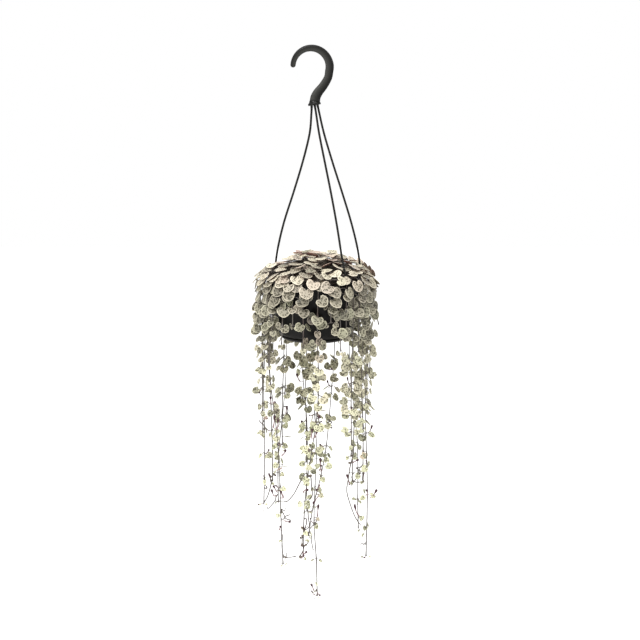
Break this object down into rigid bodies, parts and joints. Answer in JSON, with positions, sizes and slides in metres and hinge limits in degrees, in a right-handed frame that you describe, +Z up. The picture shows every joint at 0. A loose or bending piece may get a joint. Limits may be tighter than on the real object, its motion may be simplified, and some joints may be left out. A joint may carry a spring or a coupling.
{
  "type": "potted string of hearts plant",
  "caption": "Trailing plant with small mottled heart-shaped leaves on thread-thin stems, in a black plastic hanging pot with a drip saucer, hanger strands and a hook.",
  "frame": {"origin": "lowest point of the inside of the hook's crook, where it bears on the rail or nail that holds it", "axes": "+Z up, -Y toward the front, +X to the right as seen from the front, with the crook in the XZ plane"},
  "size_m": [0.173, 0.1713, 0.7921],
  "materials": {
    "charcoal_plastic": "satin charcoal moulding",
    "black_plastic": "satin near-black moulding",
    "potting_soil": "moist crumbly potting soil",
    "silver_leaf": "silver-green marbled succulent leaf with a soft waxy sheen"
  },
  "bodies": {
    "root": {"hook": "charcoal_plastic", "pot": "black_plastic", "drip_saucer": "black_plastic", "soil": "potting_soil", "strand_left": "charcoal_plastic", "strand_front": "charcoal_plastic", "strand_right": "charcoal_plastic", "stem_01": "silver_leaf", "stem_02": "silver_leaf", "stem_03": "silver_leaf", "stem_04": "silver_leaf", "stem_05": "silver_leaf", "stem_06": "silver_leaf", "stem_07": "silver_leaf", "stem_08": "silver_leaf", "stem_09": "silver_leaf", "stem_10": "silver_leaf", "stem_11": "silver_leaf", "stem_12": "silver_leaf", "stem_13": "silver_leaf", "stem_14": "silver_leaf", "stem_15": "silver_leaf", "stem_16": "silver_leaf", "stem_17": "silver_leaf", "stem_18": "silver_leaf", "stem_19": "silver_leaf", "stem_20": "silver_leaf", "stem_21": "silver_leaf", "stem_22": "silver_leaf", "stem_23": "silver_leaf", "stem_24": "silver_leaf", "stem_25": "silver_leaf", "stem_26": "silver_leaf", "stem_27": "silver_leaf", "stem_28": "silver_leaf", "stem_29": "silver_leaf", "stem_30": "silver_leaf", "stem_31": "silver_leaf", "stem_32": "silver_leaf", "stem_33": "silver_leaf", "stem_34": "silver_leaf", "stem_35": "silver_leaf", "stem_36": "silver_leaf", "stem_37": "silver_leaf", "sprig_1": "silver_leaf", "sprig_2": "silver_leaf", "sprig_3": "silver_leaf", "sprig_4": "silver_leaf", "sprig_5": "silver_leaf", "sprig_6": "silver_leaf"}
  },
  "joints": []
}
